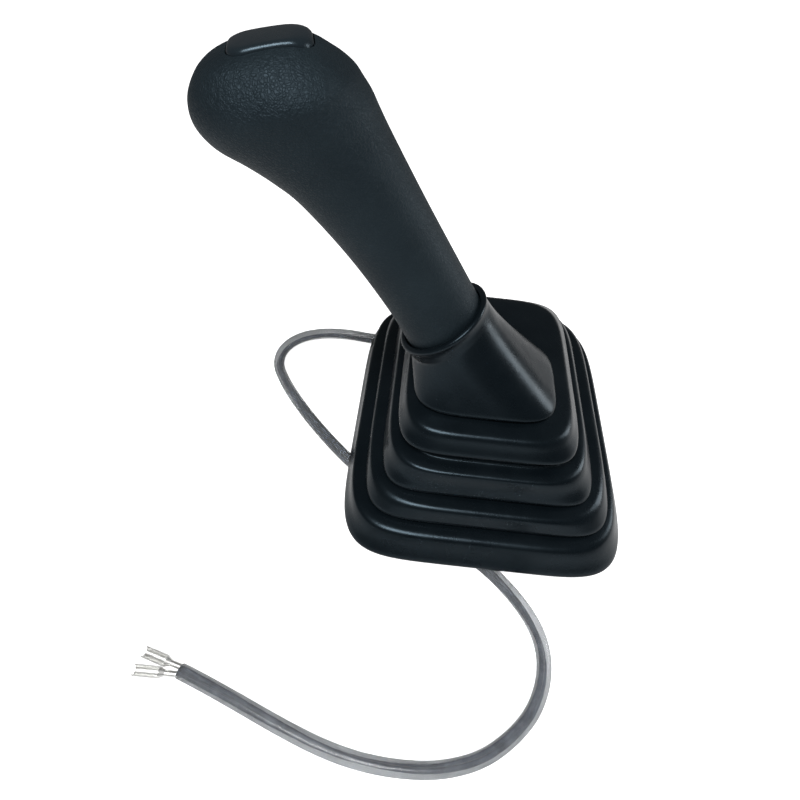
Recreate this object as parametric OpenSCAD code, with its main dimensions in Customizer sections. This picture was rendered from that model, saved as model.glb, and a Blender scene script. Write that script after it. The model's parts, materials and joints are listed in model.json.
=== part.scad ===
// Control lever with a moulded grip, a thumb button, a bellows boot and a self-centring gimbal base.
// Origin: centre of the four base bolts, on the bottom face of the mounting pan. +Z is up.
// At rest the lever leans toward -X. The long side of the boot runs along Y.

/* [Mounting pan] */
// Outside width of the square recess that holds the gimbal
recess_w = 78; // [76:1:80]
// Thickness of the pressed sheet
sheet = 2; // [1.5:0.25:2.25]
// Height of the rim's top face above the bottom face
rim_z = 12; // [12:0.5:13]
// Spacing of the base bolts, the same along X and Y
bolt_gap = 56; // [54:1:57]
// Diameter of the base bolt holes
bolt_d = 6.6; // [5.5:0.1:7]

/* [Boot] */
// Width of the skirt at its lower edge, along X
boot_w = 139.4; // [138:0.2:142]
// Length of the skirt beyond its width, along Y
boot_extra = 34; // [30:1:38]
// Distance of the boot's middle behind the lever, along Y
boot_back = 18; // [15:1:20]
// Height of the skirt's lower edge above the bottom face
boot_lift = 6.8; // [6.7:0.1:7.2]
// Thickness of the rubber
rubber = 2.4; // [2:0.1:2.8]
// Width of the lowest pleat's crest
pleat_3_w = 119.6; // [118:0.2:121]
// Width of the middle pleat's crest
pleat_2_w = 102; // [100:0.5:104]
// Width of the highest pleat's crest
pleat_1_w = 85.6; // [84:0.2:87]
// Width of the cone at its lower edge
cone_w = 66; // [64:0.2:67]
// Length of the cone at its lower edge, along Y
cone_l = 54; // [53:1:57]

/* [Guide block] */
// Diameter of the block that guides the plungers
block_d = 61; // [61:0.5:63]
// Height of the block
block_h = 16; // [15.5:0.25:16.5]
// Distance of each plunger from the middle
plunger_r = 20.5; // [20.5:0.1:21]
// Diameter of a plunger
plunger_d = 9; // [8.6:0.1:9.2]
// Radial gap of a sliding or turning fit
fit_gap = 0.05; // [0.03:0.01:0.08]

/* [Universal joint] */
// Height of the joint's centre above the bottom face
pivot_z = 17; // [17:0.25:18]
// Diameter of the joint's pins
pin_d = 4; // [3.5:0.1:4.4]
// Thickness of a fork's ear
ear_t = 3.5; // [3:0.1:3.6]

/* [Lever] */
// Outer diameter of the lever's threaded stub
tube_d = 12; // [11:0.5:13]
// Inner diameter of the lever's threaded stub
tube_bore = 7; // [6:0.5:8]
// Diameter of the swash disc
disc_d = 52; // [51:0.5:54]
// Thickness of the swash disc
disc_t = 3; // [2.5:0.25:3.5]
// Height of the lock nut
nut_h = 4.5; // [4:0.25:5]
// Lean of the lever above its bend, in degrees
lean = 36.5; // [33:0.5:40]
// Height at which the leaning axis crosses the middle
axis_z = 50; // [49:0.5:52]

/* [Grip] */
// Diameter of the grip at its lower end
grip_d = 36.2; // [35:0.2:37]
// Distance of the grip's lower end from the bend, along the leaning axis
grip_from = 47; // [46.5:0.5:48]
// Outer diameter of the core inside the grip
core_d = 20; // [19:0.5:21]
// Distance of the core's top from the bend
core_to = 126; // [120:1:128]

/* [Button] */
// Length of the button
button_l = 27; // [25:0.5:29]
// Width of the button
button_w = 19; // [17:0.5:20]
// Travel of the button
button_travel = 1.5; // [1:0.1:1.6]

/* [Switch] */
// Length of the switch body
switch_l = 20; // [18:0.5:20.5]
// Width of the switch body
switch_w = 6.4; // [6:0.1:6.8]
// Height of the switch body
switch_h = 10; // [9:0.5:10]

/* [Lead] */
// Diameter of the lead's sheath
lead_d = 6.4; // [6:0.1:6.6]
// Length of a crimped terminal
terminal_l = 18; // [16:0.5:20]

/* [Hidden] */
$fn = 48;

// Colours
steel = [0.62, 0.63, 0.65];
black_steel = [0.16, 0.16, 0.17];
alloy = [0.72, 0.73, 0.75];
bronze = [0.72, 0.55, 0.30];
black_rubber = [0.045, 0.05, 0.055];
black_plastic = [0.06, 0.065, 0.07];
clear_pvc = [0.62, 0.65, 0.68];

// Mounting pan
seat_gap = 0.3;
rim_edge = 6.5;
rim_half_x = boot_w / 2 - rim_edge;
rim_half_y = boot_w / 2 + boot_extra / 2 - rim_edge;
recess_corner = 16;
rim_corner = 30;
bolt_at = bolt_gap / 2;

// Guide block
block_top = sheet + block_h;
well_d = 24.8;
well_floor = 6;
bush_wall = 1.7;
bush_lip = 1;
bush_top = block_top + bush_lip;
bore_floor = 3.5;
screw_pcd = 48;
screw_d = 5;
cap_d = 8.5;
cap_h = 5;

// Universal joint
ear_in = 6.3;
ear_out = ear_in + ear_t;
ear_r = 4.8;
yoke_gap = 8;
crown_z = pivot_z + yoke_gap;
crown_t = 3.5;
crown_d = 22.4;
cross_half = ear_in - 0.2;
cross_w = 8;

// Lever stack
disc_z = crown_z + crown_t;
nut_z = disc_z + disc_t;
nut_flats = 19;
bend_r = 20;
bend_run = bend_r * tan(lean / 2);
tube_to = 108;
pipe_d = tube_d - 1;
pipe_bore = tube_bore - 0.6;
lead_hole_z = nut_z + nut_h + 3.5;

// Plungers
plunger_tip = disc_z - seat_gap;
plunger_foot = 8.7;
plunger_cup = 18;
cup_d = plunger_d - 3;

// Grip stations: distance along the axis, offset toward the back, half depth, half width, roundness, tilt
grip_r = grip_d / 2;
stations = [
    [grip_from, 0.6, grip_r, grip_r, 2, 0],
    [54, 0.8, grip_r, grip_r, 2, 0],
    [76, 2.8, 17.7, 17.7, 2, 0],
    [105, 4.3, 18.4, 18.2, 2, 0],
    [132, 4.7, 20.4, 19.5, 2.1, 0],
    [143.5, 3.7, 22.7, 20.8, 2.1, 3],
    [151.5, 2.2, 25.1, 22, 2.2, 8],
    [159, 0, 27.6, 23.3, 2.3, 13],
    [165.5, -0.2, 28.1, 23.8, 2.4, 18],
    [171, 1, 25.9, 22, 2.5, 22],
    [175, 3, 22.2, 18.9, 2.5, 25],
    [177.6, 4.8, 18.2, 15.8, 2.5, 26],
    [178.9, 7.5, 12, 10.6, 2.5, 26],
    [179.2, 8.3, 5, 4.4, 2.4, 26]];
grip_sides = 36;
grip_steps = 3;

// Head of the grip: its top leans back toward the upright
head_s = 180.1;
head_e = 9.9;
head_tilt = 26;
head_turn = 12.5;
button_gap = 0.35;
button_corner = 6;
button_skirt = 7.5;
button_roof = 4;
pocket_floor = button_skirt + button_travel + 0.4;
post_d = 4;
holder_top = 12;
holder_wall = 1.7;
holder_base = 27;
switch_top = 14;
pin_top = holder_top - 0.1;
crown_across = 22;
crown_along = 70;

// Boot: half widths at the crests and ridges, from the skirt up
skew = 0.135;
skew_from = 13;
boot_sides = 40;
collar_from = 49;
collar_in = grip_r + 0.4;
collar_e = 0.9;
skirt_shift = -1.5;
cone_shift = -1.8;

// Lead route: from the gland, behind and beside the boot, under it and out at the front
gland_x = -12;
gland_z = 6;
gland_face = recess_w / 2 + 5;
end_gap = 0.2;
lead_points = [
    [gland_x, gland_face + end_gap, gland_z], [gland_x, gland_face + 4, gland_z], [-12.2, 53, 5.5], [-14, 61, 4.2],
    [-18.5, 68.5, 3.3], [-27, 75, 3.3], [-39, 80, 3.3],
    [-55, 82.5, 3.3], [-71, 83.7, 3.3], [-88, 85, 3.3], [-103.5, 83, 3.3], [-115.5, 77, 3.3], [-123, 66.5, 3.3],
    [-124, 53.5, 3.3], [-118, 40, 3.3], [-106, 23, 3.3], [-90.5, 5, 3.3], [-70.5, -14.5, 3.3], [-47, -32.5, 3.3],
    [-22, -50.5, 3.3], [-0.5, -66, 3.3], [10.5, -76, 3.3], [19, -86.5, 3.3], [24.3, -97, 3.3], [26, -108, 3.3],
    [24, -119.5, 3.3], [18.5, -130.5, 3.3], [9, -140.5, 3.3], [-2.5, -148, 3.3], [-17, -152.5, 3.3],
    [-32, -153.7, 3.3], [-47.5, -152.7, 3.3], [-63, -149.5, 3.3], [-80, -144, 3.3],
    [-97.5, -137.5, 3.3], [-112, -132.2, 3.3], [-124.3, -128, 3.3]];
lead_end = lead_points[len(lead_points) - 1];
lead_heading = 161;
terminal_turn = 12;
terminal_spread = 7.5;
inner_d = 2.6;
gland_hole = inner_d + 2.8;
riser_y = tube_d / 2 + 0.1;
inner_points = [
    [gland_x, gland_face - 0.1, gland_z], [gland_x, recess_w / 2 - 1, gland_z], [gland_x, recess_w / 2 - 4.2, gland_z],
    [gland_x, recess_w / 2 - 6.8, gland_z + 0.4], [gland_x, recess_w / 2 - 9.2, gland_z + 2.6],
    [-12, 28.6, 14], [-12, 29.5, 20], [-11.5, 31.5, 28], [-9.5, 30, 35], [-6, 23, 39.5],
    [-2.2, 15.5, lead_hole_z + 0.3], [0, 10, lead_hole_z], [0, riser_y + end_gap, lead_hole_z]];
riser_points = [
    [0, riser_y, lead_hole_z], [0, riser_y - 1.6, lead_hole_z], [0, 2.9, lead_hole_z], [0, 0.65, lead_hole_z + 0.6],
    [0, -1, lead_hole_z + 2.25], [-0.1, -1.5, lead_hole_z + 4.5], [-0.5, -1.2, lead_hole_z + 8.5],
    [-1.9, -0.4, 52], [-6, 0, 58], [-23.8, 0, 82.2], [-47.6, 0, 114.3], [-71.4, 0, 146.5], [-88, 0, 169]];

// Smooth curve through four points
function spline(a, b, c, d, t) =
    0.5 * (2 * b + (c - a) * t + (2 * a - 5 * b + 4 * c - d) * t * t + (3 * b - a - 3 * c + d) * t * t * t);

// Rows added between the given ones, on the same smooth curve
function smooth(rows, steps) = [
    for (i = [0 : len(rows) - 2])
        for (k = [0 : steps - 1])
            spline(rows[max(i - 1, 0)], rows[i], rows[i + 1], rows[min(i + 2, len(rows) - 1)], k / steps),
    rows[len(rows) - 1]];

function unit(v) = v / norm(v);
function bulge(c, n) = sign(c) * pow(abs(c), 2 / n);

// Closed outline with square-ish corners: half sizes a and b, roundness n
function oval(a, b, n, sides) = [
    for (i = [0 : sides - 1])
        let (t = 360 * (i + 0.5) / sides)
        [a * bulge(cos(t), n), b * bulge(sin(t), n)]];

// Faces that join rings of points; the first and last ring are capped
function skin_faces(rings, sides) = concat(
    [[for (i = [0 : sides - 1]) i]],
    [for (r = [0 : rings - 2])
        for (i = [0 : sides - 1])
            let (j = (i + 1) % sides)
            [r * sides + i, (r + 1) * sides + i, (r + 1) * sides + j]],
    [for (r = [0 : rings - 2])
        for (i = [0 : sides - 1])
            let (j = (i + 1) % sides)
            [r * sides + i, (r + 1) * sides + j, r * sides + j]],
    [[for (i = [0 : sides - 1]) rings * sides - 1 - i]]);

// Faces that join rings of points into a closed loop of rings, as on a hollow shell
function shell_faces(rings, sides) = [
    for (r = [0 : rings - 1])
        for (i = [0 : sides - 1])
            let (j = (i + 1) % sides, q = (r + 1) % rings)
            [r * sides + i, q * sides + i, q * sides + j, r * sides + j]];

module skin(rings) {
    sides = len(rings[0]);
    polyhedron([for (r = rings) for (p = r) p], skin_faces(len(rings), sides), convexity = 6);
}

// Round bar swept through a list of points
module sweep(points, d, sides) {
    last = len(points) - 1;
    skin([for (i = [0 : last])
        let (w = unit(points[min(i + 1, last)] - points[max(i - 1, 0)]),
            u = unit(cross(w, abs(w[2]) > 0.8 ? [0, 1, 0] : [0, 0, 1])),
            v = cross(w, u))
        [for (k = [0 : sides - 1])
            points[i] + d / 2 * (u * cos(360 * k / sides) - v * sin(360 * k / sides))]]);
}

// Compression spring with closed ends
module coil(d, wire, from, to, turns, sides) {
    steps = turns * 10;
    rise = to - from - wire;
    sweep([for (k = [0 : steps])
        [d / 2 * cos(36 * k), d / 2 * sin(36 * k), from + wire / 2 + rise * k / steps]], wire, sides);
}

module rounded(w, l, r) {
    square([w - 2 * r, l], center = true);
    square([w, l - 2 * r], center = true);
    for (x = [-1, 1], y = [-1, 1])
        translate([x * (w / 2 - r), y * (l / 2 - r)]) circle(r);
}

module hex_nut(flats, h, bore) {
    difference() {
        cylinder(r = flats / 2 / cos(30), h = h, $fn = 6);
        translate([0, 0, -1]) cylinder(d = bore, h = h + 2);
    }
}

module around(pcd, count, start) {
    for (i = [0 : count - 1]) rotate([0, 0, start + 360 * i / count]) translate([pcd / 2, 0, 0]) children();
}

// Frame of the leaning axis: Z along the axis, X toward the back of the grip
module on_axis() {
    translate([0, 0, axis_z]) rotate([0, -lean, 0]) children();
}

// Frame of the head: Z out of the button
module on_head() {
    on_axis() translate([head_e, 0, head_s]) rotate([0, head_tilt, 0]) rotate([0, 0, head_turn]) children();
}

// Pressed sheet pan: a recess for the gimbal and a wide rim that the boot clips over
module mounting_pan() {
    color(black_steel) difference() {
        union() {
            linear_extrude(rim_z) rounded(recess_w, recess_w, recess_corner);
            translate([0, boot_back, rim_z - sheet]) linear_extrude(sheet)
                rounded(2 * rim_half_x, 2 * rim_half_y, rim_corner);
        }
        translate([0, 0, sheet]) linear_extrude(rim_z)
            rounded(recess_w - 2 * sheet, recess_w - 2 * sheet, recess_corner - sheet);
        for (x = [-1, 1], y = [-1, 1])
            translate([x * bolt_at, y * bolt_at, -1]) cylinder(d = bolt_d, h = sheet + 2);
        around(screw_pcd, 4, 45) translate([0, 0, -1]) cylinder(d = screw_d, h = sheet + 2);
        translate([gland_x, recess_w / 2 - sheet - 1, gland_z]) rotate([-90, 0, 0])
            cylinder(d = gland_hole, h = sheet + 2);
    }
}

// Alloy block with a well for the universal joint and four plunger bores
module guide_block() {
    color(alloy) difference() {
        translate([0, 0, sheet]) rotate_extrude()
            polygon([[0, 0], [block_d / 2, 0], [block_d / 2, block_h - 1], [block_d / 2 - 1, block_h], [0, block_h]]);
        translate([0, 0, well_floor]) cylinder(d = well_d, h = block_h);
        translate([0, 0, sheet - 1]) cylinder(d = 10 + 2 * fit_gap, h = block_h);
        around(2 * plunger_r, 4, 0) translate([0, 0, bore_floor])
            cylinder(d = plunger_d + 2 * bush_wall + 2 * fit_gap, h = block_h);
        around(screw_pcd, 4, 45) {
            translate([0, 0, sheet - 1]) cylinder(d = screw_d + 0.4, h = block_h + 2);
            translate([0, 0, block_top - cap_h - 0.5]) cylinder(d = cap_d + 0.7, h = cap_h + 1);
        }
        translate([gland_x - 2.6, 25.6, sheet - 1]) cube([5.2, 12, block_h + 2]);
    }
}

// Socket cap screws that hold the block to the pan
module block_screws() {
    color(black_steel) around(screw_pcd, 4, 45) difference() {
        union() {
            translate([0, 0, 0.3]) cylinder(d = screw_d - 0.1, h = block_top - cap_h - 0.6);
            translate([0, 0, block_top - cap_h - 0.5]) cylinder(d = cap_d, h = cap_h);
        }
        translate([0, 0, block_top - 3]) cylinder(r = 2.3, h = 4, $fn = 6);
    }
}

// Flanged bushes that guide the plungers
module guide_bushes() {
    color(bronze) around(2 * plunger_r, 4, 0) difference() {
        union() {
            translate([0, 0, bore_floor + 0.5]) cylinder(d = plunger_d + 2 * bush_wall, h = block_top - bore_floor);
            translate([0, 0, block_top]) cylinder(d = plunger_d + 2 * bush_wall + 2, h = bush_lip);
        }
        translate([0, 0, bore_floor]) cylinder(d = plunger_d + 2 * fit_gap, h = block_top);
        translate([0, 0, bush_top]) cylinder(d = 20, h = block_h);
    }
}

// One ear of a fork, standing on the plane z = foot, with its bore on the joint's centre
module ear(foot) {
    rotate([90, 0, 0]) translate([0, 0, ear_in]) difference() {
        union() {
            cylinder(r = ear_r, h = ear_t);
            translate([-ear_r, min(foot, 0), 0]) cube([2 * ear_r, abs(foot), ear_t]);
        }
        translate([0, 0, -1]) cylinder(d = pin_d + 2 * fit_gap, h = ear_t + 2);
    }
}

// Lower fork, pressed into the block: its bores lie along Y
module base_yoke() {
    foot_t = 2.5;
    color(steel) {
        translate([0, 0, sheet + 0.2]) cylinder(d = 10, h = well_floor - sheet);
        difference() {
            translate([0, 0, well_floor]) cylinder(d = well_d - 0.4, h = foot_t);
            translate([0, 0, well_floor + foot_t + 100]) cube(1);
        }
        for (side = [0, 180])
            translate([0, 0, pivot_z]) rotate([0, 0, side]) ear(well_floor + foot_t - pivot_z);
    }
}

// Cross with four pins, which turns in the lower fork and carries the upper one
module joint_cross() {
    color(steel) translate([0, 0, pivot_z]) {
        for (turn = [0, 90]) rotate([0, 0, turn]) {
            cube([2 * cross_half, cross_w, cross_w], center = true);
            rotate([0, 90, 0]) cylinder(d = pin_d, h = 2 * ear_out - 0.2, center = true);
        }
    }
}

// Upper fork with the crown that the lever tube screws into: its bores lie along X
module lever_yoke() {
    color(steel) {
        difference() {
            translate([0, 0, crown_z]) cylinder(d = crown_d, h = crown_t);
            translate([0, 0, crown_z - 1]) cylinder(d = tube_d + 2 * fit_gap, h = crown_t + 2);
        }
        for (side = [90, 270])
            translate([0, 0, pivot_z]) rotate([0, 0, side]) ear(yoke_gap);
    }
}

// Disc that presses the plungers as the lever tilts
module swash_disc() {
    edge = 0.8;
    color(steel) translate([0, 0, disc_z]) rotate_extrude()
        polygon([[tube_d / 2 + fit_gap, 0], [disc_d / 2 - edge, 0], [disc_d / 2, edge],
            [disc_d / 2, disc_t - edge], [disc_d / 2 - edge, disc_t], [tube_d / 2 + fit_gap, disc_t]]);
}

module lock_nut() {
    color(steel) translate([0, 0, nut_z]) hex_nut(nut_flats, nut_h, tube_d + 2 * fit_gap);
}

// Bend and leaning part of a bar on the lever's axis; it starts just inside the upright stub
module bent_bar(d, to) {
    on_axis() {
        translate([0, 0, bend_run]) cylinder(d = d, h = to - bend_run);
        translate([-bend_r, 0, bend_run]) rotate([-90, 0, 0])
            rotate_extrude(angle = lean + 2) translate([bend_r, 0]) circle(d = d);
    }
}

// Lever: a threaded stub with a side hole for the inner lead, and a bent tube
module lever_tube() {
    stub_top = axis_z - bend_run;
    color(black_steel) difference() {
        union() {
            translate([0, 0, crown_z]) cylinder(d = tube_d, h = stub_top - crown_z);
            bent_bar(pipe_d, tube_to);
        }
        bent_bar(pipe_bore, tube_to + 1);
        translate([0, 0, crown_z - 1]) cylinder(d = tube_bore, h = stub_top - crown_z + 0.6);
        translate([0, 0, lead_hole_z]) rotate([-90, 0, 0]) cylinder(d = inner_d + 1.6, h = tube_d);
    }
}

// Nut that locks the grip on the lever tube
module grip_nut() {
    color(steel) on_axis() translate([0, 0, grip_from - nut_h - 0.1])
        hex_nut(nut_flats, nut_h, pipe_d + 2 * fit_gap);
}

// Plastic core that joins the grip to the tube
module grip_core() {
    color(black_plastic) on_axis() difference() {
        union() {
            translate([0, 0, grip_from + 0.2]) cylinder(d = core_d, h = core_to - grip_from - 0.2);
            translate([0, 0, grip_from + 0.2]) cylinder(d = core_d + 8, h = 3);
            for (turn = [0 : 60 : 300])
                rotate([0, 0, turn]) translate([0, -1, grip_from + 3]) cube([core_d / 2 + 2, 2, 60]);
        }
        translate([0, 0, grip_from - 1]) cylinder(d = pipe_d + 2 * fit_gap, h = tube_to - grip_from + 1.5);
        translate([0, 0, grip_from]) cylinder(d = pipe_bore, h = core_to);
    }
}

// Section of the grip at one station
function grip_ring(s) = [
    for (p = oval(s[2], s[3], s[4], grip_sides))
        [s[1] + p[0] * cos(s[5]), p[1], s[0] - p[0] * sin(s[5])]];

// Outline of the button, with room around it
module button_outline(room) {
    rounded(button_l + 2 * room, button_w + 2 * room, button_corner + room);
}

// Moulded grip: a round shaft that swells into a thumb head
module grip() {
    color(black_rubber) difference() {
        on_axis() skin([for (s = smooth(stations, grip_steps)) grip_ring(s)]);
        on_axis() translate([0, 0, grip_from - 1]) cylinder(d = core_d + 0.1, h = core_to - grip_from + 1.2);
        on_axis() translate([0, 0, grip_from - 1]) cylinder(d = core_d + 8.1, h = 4.3);
        on_axis() for (turn = [0 : 60 : 300])
            rotate([0, 0, turn]) translate([0, -1.05, grip_from + 3]) cube([core_d / 2 + 2.05, 2.1, 60.1]);
        on_axis() translate([0, 0, core_to - 1]) cylinder(d = pipe_bore, h = 32);
        on_head() translate([0, 0, -pocket_floor]) linear_extrude(20) button_outline(button_gap);
        on_head() translate([0, 0, -holder_base - 0.2]) linear_extrude(30)
            square([switch_l + 2 * holder_wall + 0.6, switch_w + 2 * holder_wall + 0.6], center = true);
        on_head() translate([0, 0, -holder_base - 4]) linear_extrude(10)
            square([switch_l - 2, switch_w], center = true);
    }
}

// Cradle that holds the switch under the button
module switch_holder() {
    color(black_plastic) on_head() difference() {
        translate([0, 0, -holder_base]) linear_extrude(holder_base - holder_top)
            square([switch_l + 2 * holder_wall, switch_w + 2 * holder_wall], center = true);
        translate([0, 0, -holder_base - 1]) linear_extrude(holder_base + 1 - switch_top)
            square([switch_l + 0.2, switch_w + 0.2], center = true);
        translate([0, 0, -switch_top - 1]) cylinder(d = 4.6, h = 4);
        for (x = [-1, 1])
            translate([x * 6.5, 0, -switch_top - switch_h * 0.7]) rotate([90, 0, 0]) {
                cylinder(d = 2.1, h = 30, center = true);
                translate([0, 0, switch_w / 2 + holder_wall - 1.2]) cylinder(d = 4, h = 3);
            }
    }
}

// Snap-action switch
module switch_body() {
    color([0.12, 0.12, 0.13]) on_head() difference() {
        translate([0, 0, -switch_top - switch_h]) linear_extrude(switch_h)
            square([switch_l, switch_w], center = true);
        translate([0, 0, -switch_top - 3.2]) cylinder(d = 2 + 2 * fit_gap, h = 4);
        for (x = [-1, 1])
            translate([x * 6.5, 0, -switch_top - switch_h * 0.7]) rotate([90, 0, 0])
                cylinder(d = 2.1, h = 30, center = true);
    }
}

module switch_blades() {
    color(bronze) on_head() for (x = [-1, 1])
        translate([x * 7, 0, -switch_top - switch_h - 5]) difference() {
            translate([-0.25, -1.4, 0]) cube([0.5, 2.8, 5]);
            translate([0, 0, 1.6]) rotate([0, 90, 0]) cylinder(d = 1.2, h = 2, center = true);
        }
}

module switch_screws() {
    color(steel) on_head() for (x = [-1, 1])
        translate([x * 6.5, 0, -switch_top - switch_h * 0.7]) rotate([90, 0, 0]) {
            translate([0, 0, -switch_w / 2 - holder_wall + 0.1]) cylinder(d = 2, h = switch_w + 2 * holder_wall - 1.2);
            translate([0, 0, switch_w / 2 + holder_wall - 1.2]) cylinder(d = 3.8, h = 1.1);
        }
}

module switch_pin() {
    color([0.75, 0.2, 0.15]) on_head() translate([0, 0, -switch_top - 1.6])
        cylinder(d = 2, h = switch_top + 1.6 - pin_top);
}

// Thumb button: a crowned oblong cap with a post that presses the switch
module horn_button() {
    color(black_plastic) on_head() {
        difference() {
            intersection() {
                translate([0, 0, -button_skirt]) linear_extrude(button_skirt + 5) button_outline(0);
                translate([0, 0, -crown_across]) rotate([0, 90, 0]) rotate_extrude() intersection() {
                    translate([crown_across - crown_along, 0]) circle(crown_along, $fn = 96);
                    translate([0, -button_l]) square([crown_across + 5, 2 * button_l]);
                }
            }
            translate([0, 0, -button_skirt - 1]) linear_extrude(button_skirt + 1 - button_roof)
                rounded(button_l - 5, button_w - 5, 3);
        }
        translate([0, 0, -pin_top + 0.2]) cylinder(d = post_d, h = pin_top - 0.2 - button_roof + 0.5);
    }
}

module button_spring() {
    color(steel) on_head() coil(6.8, 0.7, -holder_top + 0.05, -button_roof - 0.05, 4, 5);
}

// Hollow plunger with a round tip, upright at the origin
module plunger() {
    color(steel) difference() {
        union() {
            translate([0, 0, plunger_foot]) cylinder(d = plunger_d, h = plunger_tip - plunger_d / 2 - plunger_foot);
            translate([0, 0, plunger_tip - plunger_d / 2]) sphere(d = plunger_d);
        }
        translate([0, 0, plunger_foot - 1]) cylinder(d = cup_d, h = plunger_cup - plunger_foot + 1);
    }
}

module return_spring() {
    color(steel) coil(cup_d - 1.3, 0.8, bore_floor + 0.05, plunger_cup - 0.05, 6, 5);
}

module plunger_right() { translate([plunger_r, 0, 0]) plunger(); }
module plunger_left() { translate([-plunger_r, 0, 0]) plunger(); }
module plunger_front() { translate([0, -plunger_r, 0]) plunger(); }
module plunger_rear() { translate([0, plunger_r, 0]) plunger(); }
module spring_right() { translate([plunger_r, 0, 0]) return_spring(); }
module spring_left() { translate([-plunger_r, 0, 0]) return_spring(); }
module spring_front() { translate([0, -plunger_r, 0]) return_spring(); }
module spring_rear() { translate([0, plunger_r, 0]) return_spring(); }

// One level of the boot: height, half width, half length, middle along Y, roundness, middle along X
function level(z, x, extra, back, n, shift = 0) = [z, x, x + extra, back, n, shift];
function boot_ring(r) = [
    for (p = oval(r[1], r[2], r[4], boot_sides))
        [p[0] + r[5] - skew * max(0, r[0] - skew_from), p[1] + r[3], r[0]]];

// Ring of the collar, square to the leaning axis
function collar_ring(s, r) = [
    for (i = [0 : boot_sides - 1])
        let (t = 360 * (i + 0.5) / boot_sides, e = collar_e + r * cos(t))
        [e * cos(lean) - s * sin(lean), r * sin(t), axis_z + e * sin(lean) + s * cos(lean)]];

// Rings that lead from one ring to another; pull above 1 keeps the middle rings near the second
function between(low, high, steps, pull) = [
    for (k = [1 : steps])
        let (t = k / (steps + 1), w = 1 - pow(1 - t, pull))
        [for (i = [0 : boot_sides - 1])
            [low[i][0] + (high[i][0] - low[i][0]) * w,
             low[i][1] + (high[i][1] - low[i][1]) * w,
             low[i][2] + (high[i][2] - low[i][2]) * t]]];

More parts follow.
